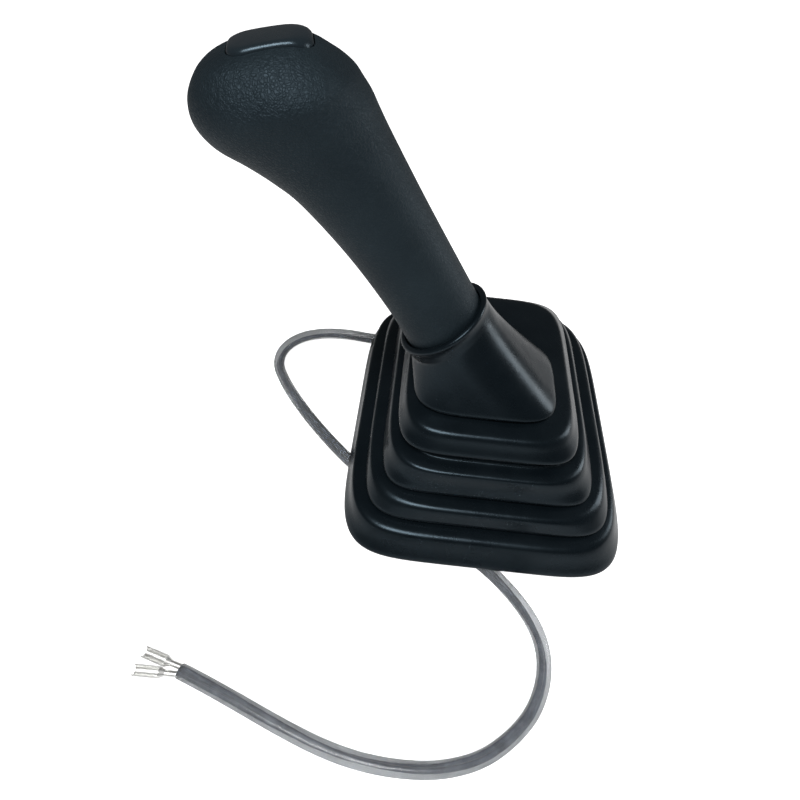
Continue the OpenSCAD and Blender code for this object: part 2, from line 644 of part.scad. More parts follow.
// Moulded bellows boot: a skirt that clips over the pan's rim, three pleats, a cone and a collar
module boot() {
    w0 = boot_w / 2;
    w3 = pleat_3_w / 2;
    w2 = pleat_2_w / 2;
    w1 = pleat_1_w / 2;
    wc = cone_w / 2;
    x0 = boot_extra / 2;
    b0 = boot_back;
    z0 = boot_lift;
    cone_extra = cone_l / 2 - wc;
    ss = skirt_shift;
    cs = cone_shift;
    outer = [for (r = [
        level(z0, w0 - 1, x0 + 0.8, b0 - 1.5, 6, ss), level(z0 + 1.2, w0, x0 + 0.8, b0 - 1.5, 6, ss),
        level(13, w0 - 2.4, x0 + 0.5, b0 - 1.1, 5.8, ss), level(18.2, w0 - 3.7, x0, b0 - 0.7, 5.5, ss),
        level(20, w0 - 4.6, x0, b0 - 0.4, 5.5, ss), level(20.9, w0 - 6.6, x0, b0, 5.5, ss / 2),
        level(21.2, w3 - 4.8, x0, b0, 6), level(22.2, w3 - 4.8, x0, b0, 6.5), level(22.4, w3 - 1.2, x0, b0, 7),
        level(23.3, w3, x0, b0, 7), level(27, w3 - 1, x0, b0, 6), level(30, w3 - 1.7, x0, b0, 5.2),
        level(31.3, w3 - 2.8, x0, b0, 5), level(31.9, w3 - 4.6, x0, b0, 5), level(32.1, w2 - 4.4, x0, b0, 6),
        level(33, w2 - 4.4, x0, b0, 7), level(33.2, w2 - 1.2, x0, b0, 7.5), level(34.2, w2, x0, b0, 7.5),
        level(39.5, w2 - 2.1, x0, b0, 6), level(44, w2 - 3.1, x0, b0 - 0.5, 5.2),
        level(45.9, w2 - 4.2, x0, b0 - 1, 5), level(46.6, w2 - 6, x0, b0 - 1, 5),
        level(50.9, w1 - 4.2, x0, b0 - 1.5, 5.6), level(51.9, w1 - 4.2, x0, b0 - 1.5, 6),
        level(52.1, w1 - 1.2, x0 - 1.5, b0 - 1.5, 6), level(53.1, w1, x0 - 1.8, b0 - 1.8, 6),
        level(57.5, w1 - 2.4, x0 - 3.5, b0 - 3.5, 5.5), level(61, w1 - 3.6, x0 - 5, b0 - 5, 5),
        level(62.4, w1 - 4.8, x0 - 5.5, b0 - 5.5, 5), level(63, w1 - 6.6, x0 - 6, b0 - 5.8, 5),
        level(64.5, wc - 3.6, cone_extra, -3, 4.4, cs), level(65.3, wc - 3.6, cone_extra, -3, 4.2, cs),
        level(65.5, wc - 1, cone_extra, -3, 4, cs), level(66.5, wc, cone_extra, -3, 3.8, cs)]) boot_ring(r)];
    neck = collar_ring(collar_from, collar_in + rubber - 0.5);
    collar = [for (p = [[2, 1.9], [4, 1.9], [5.8, 2.3], [7.2, 2.9], [8.2, 2.6], [8.6, 1.6], [8.6, 0.6],
        [8.2, 0], [1, 0]]) collar_ring(collar_from + p[0], collar_in + p[1])];
    i3 = w3 - rubber;
    i2 = w2 - rubber;
    i1 = w1 - rubber;
    ic = wc - rubber;
    inner = [for (r = [
        level(66.5 + rubber * 0.7, ic, cone_extra, -3, 3.8, cs),
        level(66.5 + rubber * 0.7, ic - 3.4, cone_extra, -3, 4.4, cs), level(62, ic - 3.4, cone_extra, -3, 4.6, cs),
        level(60.4, i1 - 6.2, x0 - 6, b0 - 5.8, 5),
        level(59.6, i1 - 4.6, x0 - 5.5, b0 - 5.5, 5), level(54.8, i1 - 0.6, x0 - 1.8, b0 - 1.8, 6),
        level(54.8, i1 - 4.2, x0 - 1.8, b0 - 1.5, 6), level(48.6, i1 - 4.2, x0, b0 - 1.5, 6),
        level(44.2, i2 - 5.8, x0, b0 - 1, 5), level(43, i2 - 4.2, x0, b0 - 0.5, 5),
        level(36, i2 - 0.8, x0, b0, 7.5), level(36, i2 - 4.4, x0, b0, 7), level(29.6, i2 - 4.4, x0, b0, 6),
        level(29.3, i3 - 3.2, x0, b0, 5), level(25.1, i3 - 0.8, x0, b0, 7), level(25.1, i3 - 4.8, x0, b0, 6),
        level(18.6, i3 - 4.8, x0, b0, 6), level(18.2, w0 - 8.6, x0, b0, 6), level(rim_z + seat_gap, w0 - 8.6, x0, b0, 6.5),
        level(rim_z + seat_gap, w0 - rim_edge + seat_gap, x0, b0, 8),
        level(rim_z - sheet - seat_gap, w0 - rim_edge + seat_gap, x0, b0, 8),
        level(rim_z - sheet - seat_gap, w0 - 10.6, x0, b0, 6.5), level(z0, w0 - 10.6, x0, b0, 6.5)]) boot_ring(r)];
    inner_neck = collar_ring(collar_from, collar_in);
    cone = between(outer[len(outer) - 1], neck, 6, 1.15);
    inner_cone = between(inner_neck, inner[0], 5, 0.85);
    rings = concat(outer, cone, [neck], collar, [inner_neck], inner_cone, inner);
    color(black_rubber)
        polyhedron([for (r = rings) for (p = r) p], shell_faces(len(rings), boot_sides), convexity = 12);
}

// Grommet in the pan's rear wall
module lead_gland() {
    wall = recess_w / 2;
    color(black_rubber) translate([gland_x, 0, gland_z]) rotate([-90, 0, 0]) difference() {
        union() {
            translate([0, 0, wall - sheet - 2]) cylinder(r = 3.8, h = 1.9);
            translate([0, 0, wall - sheet - 0.2]) cylinder(d = gland_hole - 0.1, h = sheet + 0.4);
            translate([0, 0, wall + 0.1]) cylinder(r1 = 3.8, r2 = 3.3, h = gland_face - wall - 0.1);
        }
        translate([0, 0, wall - sheet - 3]) cylinder(d = inner_d + 0.2, h = 20);
    }
}

module inner_lead() {
    color([0.25, 0.28, 0.32]) sweep(smooth(inner_points, 2), inner_d, 8);
}

module lever_lead() {
    color([0.25, 0.28, 0.32]) sweep(smooth(riser_points, 2), inner_d, 8);
}

module lead_sheath() {
    color(clear_pvc) sweep(smooth(lead_points, 2), lead_d, 10);
}

// Crimped terminal: a closed barrel and an open half tube
module terminal() {
    color(steel) rotate([0, 90, 0]) difference() {
        union() {
            cylinder(r = 1.25, h = 5.5);
            translate([0, 0, 5]) cylinder(r1 = 1.25, r2 = 2.4, h = 2.5);
            translate([0, 0, 7.5]) cylinder(r = 2.4, h = terminal_l - 7.5);
        }
        translate([0, 0, 7.2]) cylinder(r = 1.9, h = terminal_l);
        translate([-4.6, -4, 7.2]) cube([4, 8, terminal_l]);
    }
}

module terminal_pair(side) {
    translate(lead_end) rotate([0, 0, lead_heading]) translate([0.5, side * 1.5, -0.4])
        rotate([0, 0, terminal_turn + side * terminal_spread]) terminal();
}

module terminal_a() { terminal_pair(1); }
module terminal_b() { terminal_pair(-1); }

mounting_pan();
guide_block();
block_screws();
guide_bushes();
base_yoke();
joint_cross();
lever_yoke();
swash_disc();
lock_nut();
lever_tube();
grip_nut();
grip_core();
grip();
switch_holder();
switch_body();
switch_blades();
switch_screws();
switch_pin();
horn_button();
button_spring();
plunger_right();
plunger_left();
plunger_front();
plunger_rear();
spring_right();
spring_left();
spring_front();
spring_rear();
boot();
lead_gland();
inner_lead();
lever_lead();
lead_sheath();
terminal_a();
terminal_b();
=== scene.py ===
import json
import math
import bmesh
import bpy
import numpy as np
from mathutils import Matrix, Vector
from mathutils.bvhtree import BVHTree


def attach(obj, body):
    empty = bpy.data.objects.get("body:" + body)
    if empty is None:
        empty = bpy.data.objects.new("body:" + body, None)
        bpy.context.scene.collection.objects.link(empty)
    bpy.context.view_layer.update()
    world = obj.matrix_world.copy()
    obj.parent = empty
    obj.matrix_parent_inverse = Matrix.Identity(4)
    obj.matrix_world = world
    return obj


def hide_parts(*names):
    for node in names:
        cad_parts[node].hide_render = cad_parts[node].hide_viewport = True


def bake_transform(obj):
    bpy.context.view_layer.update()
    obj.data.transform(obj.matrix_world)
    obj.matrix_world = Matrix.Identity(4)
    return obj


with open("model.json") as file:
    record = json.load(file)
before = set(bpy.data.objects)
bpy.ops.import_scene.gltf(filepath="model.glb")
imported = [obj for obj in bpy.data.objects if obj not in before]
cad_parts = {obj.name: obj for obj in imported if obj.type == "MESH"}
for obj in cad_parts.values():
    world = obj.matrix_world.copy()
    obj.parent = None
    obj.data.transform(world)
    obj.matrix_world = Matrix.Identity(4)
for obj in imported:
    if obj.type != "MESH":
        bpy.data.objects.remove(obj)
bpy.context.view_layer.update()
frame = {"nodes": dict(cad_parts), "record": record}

MM = 0.001                      # shapes are written in mm and scaled to metres as their meshes are made
SIDEWAYS = np.array((0, 1.0, 0))
scene = bpy.context.scene


# ---------- camera: fitted to the boot's ridges and the grip's outline ----------
AZIMUTH, ELEVATION, ROLL = math.radians(-0.71), math.radians(47.84), math.radians(5.63)
CAMERA_PLACE = (-0.0451, -0.2032, 0.2644)
LENS, SENSOR, CLIP_START = 27.0, 36.0, 0.01

look = Vector((math.sin(AZIMUTH) * math.cos(ELEVATION), math.cos(AZIMUTH) * math.cos(ELEVATION),
               -math.sin(ELEVATION)))
right = look.cross(Vector((0, 0, 1))).normalized()
up = right.cross(look)
right, up = (math.cos(ROLL) * right + math.sin(ROLL) * up,
             math.cos(ROLL) * up - math.sin(ROLL) * right)
cam_data = bpy.data.cameras.new("camera")
cam_data.lens = LENS
cam_data.sensor_width = SENSOR
cam_data.clip_start = CLIP_START
camera = bpy.data.objects.new("camera", cam_data)
scene.collection.objects.link(camera)
view = Matrix((right, up, -look)).transposed().to_4x4()
view.translation = Vector(CAMERA_PLACE)
camera.matrix_world = view
scene.camera = camera


# ---------- helpers ----------
COOL = (0.62, 0.84, 1.0)        # tint of the sheen on the black rubber and plastic


def material(name, color, rough, spec=0.5, metal=0.0, tint=(1, 1, 1)):
    """A new material, with its node tree and its shader."""
    m = bpy.data.materials.new(name)
    m.use_nodes = True
    b = m.node_tree.nodes["Principled BSDF"]
    b.inputs["Base Color"].default_value = (*color, 1)
    b.inputs["Roughness"].default_value = rough
    b.inputs["Specular IOR Level"].default_value = spec
    b.inputs["Metallic"].default_value = metal
    b.inputs["Specular Tint"].default_value = (*tint, 1)
    return m, m.node_tree, b


def node(tree, kind, **values):
    """A new node; each value goes to the input or, failing that, the property of its name."""
    n = tree.nodes.new(kind)
    for k, v in values.items():
        if k in n.inputs:
            n.inputs[k].default_value = v
        else:
            setattr(n, k, v)
    return n


def ramp(tree, source, stops):
    """Colour ramp over source; a stop is a place with a grey level or a colour."""
    r = tree.nodes.new("ShaderNodeValToRGB")
    e = r.color_ramp.elements
    while len(e) < len(stops):
        e.new(0.5)
    for item, (pos, value) in zip(e, stops):
        item.position = pos
        item.color = (*value, 1) if isinstance(value, tuple) else (value, value, value, 1)
    tree.links.new(source, r.inputs["Fac"])
    return r.outputs["Color"]


def coords(tree):
    return node(tree, "ShaderNodeTexCoord").outputs["Object"]


def noise(tree, scale, detail=3.0, rough=0.55, source=None):
    n = node(tree, "ShaderNodeTexNoise", Scale=scale, Detail=detail, Roughness=rough)
    tree.links.new(source or coords(tree), n.inputs["Vector"])
    return n.outputs["Fac"]


def math_node(tree, op, a, b):
    n = tree.nodes.new("ShaderNodeMath")
    n.operation = op
    for i, v in enumerate((a, b)):
        if isinstance(v, (int, float)):
            n.inputs[i].default_value = v
        else:
            tree.links.new(v, n.inputs[i])
    return n.outputs[0]


def bump(tree, bsdf, height, strength, distance):
    n = node(tree, "ShaderNodeBump", Strength=strength, Distance=distance)
    tree.links.new(height, n.inputs["Height"])
    tree.links.new(n.outputs["Normal"], bsdf.inputs["Normal"])


def add(name, verts, faces, mat, smooth=True, scale=MM):
    """Mesh object with outward normals and one material."""
    mesh = bpy.data.meshes.new(name)
    points = [[float(c) * scale for c in v] for v in verts]
    mesh.from_pydata(points, [], [list(map(int, f)) for f in faces])
    mesh.validate()
    o = bpy.data.objects.new(name, mesh)
    scene.collection.objects.link(o)
    mesh.materials.append(mat)
    bm = bmesh.new()
    bm.from_mesh(mesh)
    bmesh.ops.recalc_face_normals(bm, faces=bm.faces)
    bm.to_mesh(mesh)
    bm.free()
    for p in mesh.polygons:
        p.use_smooth = smooth
    return o


def apply_mods(o):
    """Replaces o's mesh by what its modifiers make of it."""
    bpy.context.view_layer.update()
    graph = bpy.context.evaluated_depsgraph_get()
    mesh = bpy.data.meshes.new_from_object(o.evaluated_get(graph))
    old = o.data
    o.modifiers.clear()
    o.data = mesh
    bpy.data.meshes.remove(old)


def grid_faces(rings, sides, closed_rings=False, cap_low=False, cap_high=False):
    """Faces of a stack of rings with as many sides each, joined last to first or capped."""
    faces = []
    for r in range(rings if closed_rings else rings - 1):
        q = (r + 1) % rings
        for i in range(sides):
            j = (i + 1) % sides
            faces.append((r * sides + i, q * sides + i, q * sides + j, r * sides + j))
    if cap_low:
        faces.append(list(range(sides))[::-1])
    if cap_high:
        faces.append([(rings - 1) * sides + i for i in range(sides)])
    return faces


def chaikin(rings, times=2, q=0.25):
    """Rounds the corners of a stack of rings; the first and last ring stay."""
    r = np.asarray(rings, float)
    for _ in range(times):
        a = r[:-1] * (1 - q) + r[1:] * q
        b = r[:-1] * q + r[1:] * (1 - q)
        mid = np.empty((2 * len(a),) + r.shape[1:])
        mid[0::2], mid[1::2] = a, b
        r = np.concatenate([r[:1], mid[1:-1], r[-1:]])
    return r


def spline_rows(rows, steps):
    """Catmull-Rom curve through rows of numbers, with steps rows for each span."""
    rows = [np.array(x, float) for x in rows]
    out = []
    for i in range(len(rows) - 1):
        a, b, c, d = rows[max(i - 1, 0)], rows[i], rows[i + 1], rows[min(i + 2, len(rows) - 1)]
        for k in range(steps):
            t = k / steps
            out.append(0.5 * (2 * b + (c - a) * t + (2 * a - 5 * b + 4 * c - d) * t * t
                              + (3 * b - a - 3 * c + d) * t ** 3))
    out.append(rows[-1])
    return np.array(out)


def sweep(points, radius, sides):
    """Tube along points, with the frame carried along so that it doesn't twist."""
    p = np.asarray(points, float)
    radius = np.broadcast_to(radius, (len(p),))
    t = np.gradient(p, axis=0)
    t /= np.linalg.norm(t, axis=1)[:, None]
    u = np.cross(t[0], (0, 0, 1.0) if abs(t[0][2]) < 0.8 else (0, 1.0, 0))
    verts = []
    for k in range(len(p)):
        u = u - t[k] * (u @ t[k])
        u /= np.linalg.norm(u)
        v = np.cross(t[k], u)
        a = np.arange(sides) * 2 * math.pi / sides
        verts.append(p[k] + radius[k] * (np.cos(a)[:, None] * u + np.sin(a)[:, None] * v))
    return np.concatenate(verts), grid_faces(len(p), sides, cap_low=True, cap_high=True)


# ---------- lead: route in mm, as in the CAD ----------
lead_points = [
    [-12, 44.2, 6], [-12, 48, 6], [-12.2, 53, 5.5], [-14, 61, 4.2],
    [-18.5, 68.5, 3.3], [-27, 75, 3.3], [-39, 80, 3.3],
    [-55, 82.5, 3.3], [-71, 83.7, 3.3], [-88, 85, 3.3], [-103.5, 83, 3.3], [-115.5, 77, 3.3], [-123, 66.5, 3.3],
    [-124, 53.5, 3.3], [-118, 40, 3.3], [-106, 23, 3.3], [-90.5, 5, 3.3], [-70.5, -14.5, 3.3], [-47, -32.5, 3.3],
    [-22, -50.5, 3.3], [-0.5, -66, 3.3], [10.5, -76, 3.3], [19, -86.5, 3.3], [24.3, -97, 3.3], [26, -108, 3.3],
    [24, -119.5, 3.3], [18.5, -130.5, 3.3], [9, -140.5, 3.3], [-2.5, -148, 3.3], [-17, -152.5, 3.3],
    [-32, -153.7, 3.3], [-47.5, -152.7, 3.3], [-63, -149.5, 3.3], [-80, -144, 3.3],
    [-97.5, -137.5, 3.3], [-112, -132.2, 3.3], [-124.3, -128, 3.3]]
lead_r = 3.2
ROUTE_STEPS = 6
SHEATH_SIDES, CORE_SIDES = 20, 10
CORE_R = 0.8
CORE_TWIST = 2 * math.pi / 330  # the cores' turn about each other, in radians per mm
CORE_SINK, CORE_SWAY = 0.9, 0.5  # how low the pair lies in the sheath, and how far it wanders sideways
route = spline_rows(lead_points, ROUTE_STEPS)
lead_length = float(np.linalg.norm(np.diff(route, axis=0), axis=1).sum())


def clear_pvc():
    """Clear, slightly uneven sheath."""
    m, t, b = material("clear_pvc", (0.86, 0.88, 0.90), 0.16, 0.5)
    b.inputs["Transmission Weight"].default_value = 0.92
    b.inputs["IOR"].default_value = 1.33
    bump(t, b, noise(t, 260, 2), 0.25, 0.0006)
    return m


def core_pvc():
    """Dark insulation of the two cores inside the sheath."""
    m, t, b = material("core_pvc", (0.06, 0.075, 0.10), 0.35, 0.5)
    c = ramp(t, noise(t, 180, 3), [(0.35, (0.035, 0.045, 0.065)), (0.7, (0.10, 0.12, 0.15))])
    t.links.new(c, b.inputs["Base Color"])
    return m


sheath_mat, core_mat = clear_pvc(), core_pvc()
verts, faces = sweep(route, lead_r, SHEATH_SIDES)
sheath = add("lead_sheath_clear", verts, faces, sheath_mat)
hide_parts("lead_sheath")
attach(sheath, "base")
tangent = np.gradient(route, axis=0)
tangent /= np.linalg.norm(tangent, axis=1)[:, None]
side = np.cross(tangent, (0, 0, 1.0))
over = np.cross(side, tangent)
travel = np.concatenate([[0], np.cumsum(np.linalg.norm(np.diff(route, axis=0), axis=1))])
for k in (0, 1):
    turn = (CORE_TWIST * (lead_length - travel) + math.pi * (k + 0.1))[:, None]
    middle = route + side * CORE_SWAY * np.sin(turn * 0.5) + over * -CORE_SINK
    path = middle + CORE_R * (side * np.cos(turn) + over * np.sin(turn))
    verts, faces = sweep(path, CORE_R, CORE_SIDES)
    core = add("lead_core_%d" % (k + 1), verts, faces, core_mat)
    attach(core, "base")


# ---------- materials ----------
def leather_grain():
    """Black moulded skin with a pebbled leather grain, coarser on the thumb head."""
    m, t, b = material("grip_grain", (0.008, 0.013, 0.017), 0.5, 0.3, tint=COOL)
    p = coords(t)
    warp = node(t, "ShaderNodeTexNoise", Scale=420, Detail=2)
    t.links.new(p, warp.inputs["Vector"])
    mix = node(t, "ShaderNodeMixRGB", Fac=0.0022)
    t.links.new(p, mix.inputs["Color1"])
    t.links.new(warp.outputs["Color"], mix.inputs["Color2"])
    cells = node(t, "ShaderNodeTexVoronoi", Scale=950, feature="DISTANCE_TO_EDGE")
    t.links.new(mix.outputs[0], cells.inputs["Vector"])
    pebble = ramp(t, cells.outputs["Distance"], [(0.0, 0.0), (0.22, 0.75), (0.6, 1.0)])
    big = node(t, "ShaderNodeTexVoronoi", Scale=620, feature="SMOOTH_F1", Smoothness=0.8)
    t.links.new(mix.outputs[0], big.inputs["Vector"])
    coarse = ramp(t, big.outputs["Distance"], [(0.1, 1.0), (0.75, 0.0)])
    fine_part = math_node(t, "MULTIPLY", pebble, 0.5)
    coarse_part = math_node(t, "MULTIPLY", coarse, 0.5)
    height = math_node(t, "ADD", fine_part, coarse_part)
    z = node(t, "ShaderNodeSeparateXYZ")
    t.links.new(p, z.inputs[0])
    high = node(t, "ShaderNodeMapRange")
    t.links.new(z.outputs["Z"], high.inputs["Value"])
    for key, v in (("From Min", 0.13), ("From Max", 0.178), ("To Min", 0.35), ("To Max", 1.0)):
        high.inputs[key].default_value = v
    bump(t, b, math_node(t, "MULTIPLY", height, high.outputs[0]), 0.5, 0.00055)
    c = ramp(t, noise(t, 45, 4), [(0.3, (0.0045, 0.008, 0.0105)), (0.75, (0.009, 0.0145, 0.018))])
    t.links.new(c, b.inputs["Base Color"])
    r = ramp(t, pebble, [(0.0, 0.62), (1.0, 0.47)])
    t.links.new(r, b.inputs["Roughness"])
    return m


def boot_rubber():
    """Moulded black rubber: satin, faint cloudy bloom and fine mould texture."""
    m, t, b = material("boot_rubber_satin", (0.003, 0.005, 0.007), 0.28, 0.28, tint=COOL)
    c = ramp(t, noise(t, 38, 5), [(0.3, (0.0018, 0.0034, 0.0048)), (0.75, (0.0042, 0.0066, 0.0086))])
    t.links.new(c, b.inputs["Base Color"])
    r = ramp(t, noise(t, 85, 4), [(0.3, 0.24), (0.75, 0.34)])
    t.links.new(r, b.inputs["Roughness"])
    h = math_node(t, "ADD", math_node(t, "MULTIPLY", noise(t, 1500, 2), 0.35), noise(t, 160, 3))
    bump(t, b, h, 0.16, 0.0005)
    return m


def button_plastic():
    """Moulded black plastic, a little glossier than the grip."""
    m, t, b = material("button_plastic", (0.010, 0.015, 0.019), 0.36, 0.35, tint=COOL)
    r = ramp(t, noise(t, 240, 3), [(0.3, 0.24), (0.75, 0.34)])
    t.links.new(r, b.inputs["Roughness"])
    bump(t, b, noise(t, 1800, 2), 0.12, 0.0003)
    return m


grip_mat, boot_mat, button_mat = leather_grain(), boot_rubber(), button_plastic()

# ---------- grip, in mm ----------
# The lever's axis starts at O and runs along A; P is square to it, in the plane of the lean
LEAN, AXIS_Z = math.radians(36.5), 50.0
A = np.array((-math.sin(LEAN), 0, math.cos(LEAN)))
P = np.array((math.cos(LEAN), 0, math.sin(LEAN)))
O = np.array((0, 0, AXIS_Z))
GRIP_SIDES, GRIP_STEPS = 96, 7
# each row: place along A, offset along P, two half widths, squareness, tilt in degrees
stations = [
    [47, 0.6, 18.1, 18.1, 2, 0], [54, 0.8, 18.1, 18.1, 2, 0], [76, 2.8, 17.7, 17.7, 2, 0],
    [105, 4.3, 18.4, 18.2, 2, 0], [132, 4.7, 20.4, 19.5, 2.1, 0], [143.5, 3.7, 22.7, 20.8, 2.1, 3],
    [151.5, 2.2, 25.1, 22, 2.2, 8], [159, 0, 27.6, 23.3, 2.3, 13], [165.5, -0.2, 28.1, 23.8, 2.4, 18],
    [171, 1, 25.9, 22, 2.5, 22], [175, 3, 22.2, 18.9, 2.5, 25], [177.6, 4.8, 18.2, 15.8, 2.5, 26],
    [178.9, 7.5, 12, 10.6, 2.5, 26], [179.2, 8.3, 5, 4.4, 2.4, 26]]


def oval(a, b, n, sides):
    """Superellipse with half widths a and b; n is 2 for an ellipse and more for a squarer one."""
    t = 2 * math.pi * (np.arange(sides) + 0.5) / sides
    c, s = np.cos(t), np.sin(t)
    return a * np.sign(c) * np.abs(c) ** (2 / n), b * np.sign(s) * np.abs(s) ** (2 / n)


def grip_ring(row, sides):
    s, e, a, b, n, tilt = row
    tilt = math.radians(tilt)
    x, y = oval(a, b, n, sides)
    along = s - x * math.sin(tilt)
    across = e + x * math.cos(tilt)
    return O + along[:, None] * A + across[:, None] * P + y[:, None] * SIDEWAYS


# The head's own frame carries the button: HX and HY lie in its face and HN points out of it
HEAD_TILT = math.radians(26)
HEAD_TURN = math.radians(12.5)
HEAD = O + 180.1 * A + 9.9 * P
HN = A * math.cos(HEAD_TILT) + P * math.sin(HEAD_TILT)
FORE = P * math.cos(HEAD_TILT) - A * math.sin(HEAD_TILT)
HX = FORE * math.cos(HEAD_TURN) + SIDEWAYS * math.sin(HEAD_TURN)
HY = np.cross(HN, HX)
HEAD_TOP = -1.35                # point that closes the skin, above the head frame's plane
BW, BL, BR = 27.0, 19.0, 6.0    # button: width, length, corner
BUTTON_FOOT, BUTTON_PROUD, BUTTON_EDGE = (-7.5, -4.0), 1.3, 1.6
POCKET_GAP, POCKET_FLOOR, POCKET_TOP = 0.35, -9.4, 8.0
OUTLINE_STEP = 1.2
RAY_FROM, RAY_MISS = 12.0, -6.0  # where the search for the skin starts, and the height where it misses
SHARP_ANGLE = math.radians(40)


def on_head(x, y, z):
    return HEAD + np.multiply.outer(x, HX) + np.multiply.outer(y, HY) + np.multiply.outer(z, HN)


def rounded_outline(w, l, r, per=12):
    """Rounded rectangle with per steps in each corner and points about OUTLINE_STEP apart on its straights."""
    pts = []
    for k, (sx, sy) in enumerate(((1, 1), (-1, 1), (-1, -1), (1, -1))):
        for i in range(per + 1):
            a = math.pi / 2 * (k + i / per)
            pts.append((sx * (w / 2 - r) + r * math.cos(a), sy * (l / 2 - r) + r * math.sin(a)))
    out = []
    for i, p in enumerate(pts):
        q = pts[(i + 1) % len(pts)]
        d = math.dist(p, q)
        n = max(1, int(d / OUTLINE_STEP))
        out += [(p[0] + (q[0] - p[0]) * k / n, p[1] + (q[1] - p[1]) * k / n) for k in range(n)]
    return np.array(out)


rings = [grip_ring(r, GRIP_SIDES) for r in spline_rows(stations, GRIP_STEPS)]
verts = np.concatenate(rings + [on_head(np.array([0.0]), np.array([0.0]), np.array([HEAD_TOP]))])
faces = grid_faces(len(rings), GRIP_SIDES, cap_low=True)
last = (len(rings) - 1) * GRIP_SIDES
faces += [(last + i, last + (i + 1) % GRIP_SIDES, len(verts) - 1) for i in range(GRIP_SIDES)]
grip = add("grip_skin", verts, faces, grip_mat)
skin_tree = BVHTree.FromPolygons([Vector(v) for v in verts], [list(f) for f in faces])

outline = rounded_outline(BW + 2 * POCKET_GAP, BL + 2 * POCKET_GAP, BR + POCKET_GAP)
n = len(outline)
low = on_head(outline[:, 0], outline[:, 1], np.full(n, POCKET_FLOOR))
high = on_head(outline[:, 0], outline[:, 1], np.full(n, POCKET_TOP))
cutter = add("cutter", np.concatenate([low, high]),
             grid_faces(2, n, cap_low=True, cap_high=True), button_mat)
cut = grip.modifiers.new("pocket", "BOOLEAN")
cut.operation = "DIFFERENCE"
cut.solver = "EXACT"
cut.object = cutter
apply_mods(grip)
bpy.data.objects.remove(cutter)
for p in grip.data.polygons:
    p.use_smooth = True
grip.data.set_sharp_from_angle(angle=SHARP_ANGLE)
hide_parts("grip")
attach(grip, "lever")


def skin_height(x, y):
    """Height of the head's skin above the head frame's plane."""
    start = Vector(on_head(np.array(x), np.array(y), np.array(RAY_FROM)))
    hit = skin_tree.ray_cast(start, Vector(-HN))
    return RAY_FROM - hit[3] if hit[0] is not None else RAY_MISS


def make_button():
    """Button whose top follows the head's skin, with a rounded edge and an upright wall below."""
    outline = rounded_outline(BW, BL, BR, 14)
    rows = [on_head(outline[:, 0], outline[:, 1], np.full(len(outline), z)) for z in BUTTON_FOOT]
    for d in (0.0, 0.12, 0.4, 0.9, 1.6, 2.6, 4.2, 6.2, 8.2):    # steps in from the edge
        k = np.array([(BW / 2 - d) / (BW / 2), (BL / 2 - d) / (BL / 2)])
        ring = outline * k
        drop = BUTTON_EDGE - math.sqrt(max(0.0, BUTTON_EDGE ** 2 - max(0.0, BUTTON_EDGE - d) ** 2))
        h = np.array([skin_height(x, y) for x, y in ring]) + BUTTON_PROUD - drop
        rows.append(on_head(ring[:, 0], ring[:, 1], h))
    verts = np.concatenate(rows)
    faces = grid_faces(len(rows), len(outline), cap_low=True)
    last = (len(rows) - 1) * len(outline)
    top = on_head(np.array([0.0]), np.array([0.0]), np.array([skin_height(0, 0) + BUTTON_PROUD]))
    faces += [(last + i, last + (i + 1) % len(outline), len(verts)) for i in range(len(outline))]
    return add("thumb_button", np.concatenate([verts, top]), faces, button_mat)


button = make_button()
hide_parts("horn_button")
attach(button, "button")

# ---------- boot, in mm ----------
# The CAD's levels with rounded corners and more sides; only the shelf under the top pleat is
# flatter than the CAD's
BOOT_SIDES = 144
W0, W3, W2, W1, WC = 69.7, 59.8, 51.0, 42.8, 33.0   # half widths: skirt, pleats upwards, cone's foot
X0, B0, Z0 = 17.0, 18.0, 6.8        # extra half length, offset of the middle, height of the hem
CE, CS, SS = -6.0, -1.8, -1.5       # cone's extra half length; shift along X of the cone and the skirt
SKEW, SKEW_FROM = 0.135, 13         # each level above SKEW_FROM leans back toward -X by this slope
COLLAR, COLLAR_R, COLLAR_E = 49, 18.5, 0.9
# each row: step along the axis from COLLAR, step out from COLLAR_R
collar_rows = [(2, 1.9), (4, 1.9), (5.8, 2.3), (7.2, 2.9), (8.2, 2.6), (8.6, 1.6), (8.6, 0.6), (8.2, 0), (1, 0)]


def boot_ring(z, x, extra, back, n, shift=0.0):
    """Level ring: height, half width, extra half length, offset along Y, squareness, shift along X."""
    px, py = oval(x, x + extra, n, BOOT_SIDES)
    px = px + shift - SKEW * max(0, z - SKEW_FROM)
    return np.stack([px, py + back, np.full(BOOT_SIDES, float(z))], 1)


def collar_ring(s, r):
    """Round ring of radius r, square to the lever's axis."""
    t = 2 * math.pi * (np.arange(BOOT_SIDES) + 0.5) / BOOT_SIDES
    e = COLLAR_E + r * np.cos(t)
    return O + s * A + e[:, None] * P + (r * np.sin(t))[:, None] * SIDEWAYS


def between(low, high, steps, pull):
    """Rings from low to high, both left out; pull above 1 brings their outline nearer to high's."""
    out = []
    for k in range(1, steps + 1):
        t = k / (steps + 1)
        w = 1 - (1 - t) ** pull
        ring = low + (high - low) * w
        ring[:, 2] = low[:, 2] + (high[:, 2] - low[:, 2]) * t
        out.append(ring)
    return out


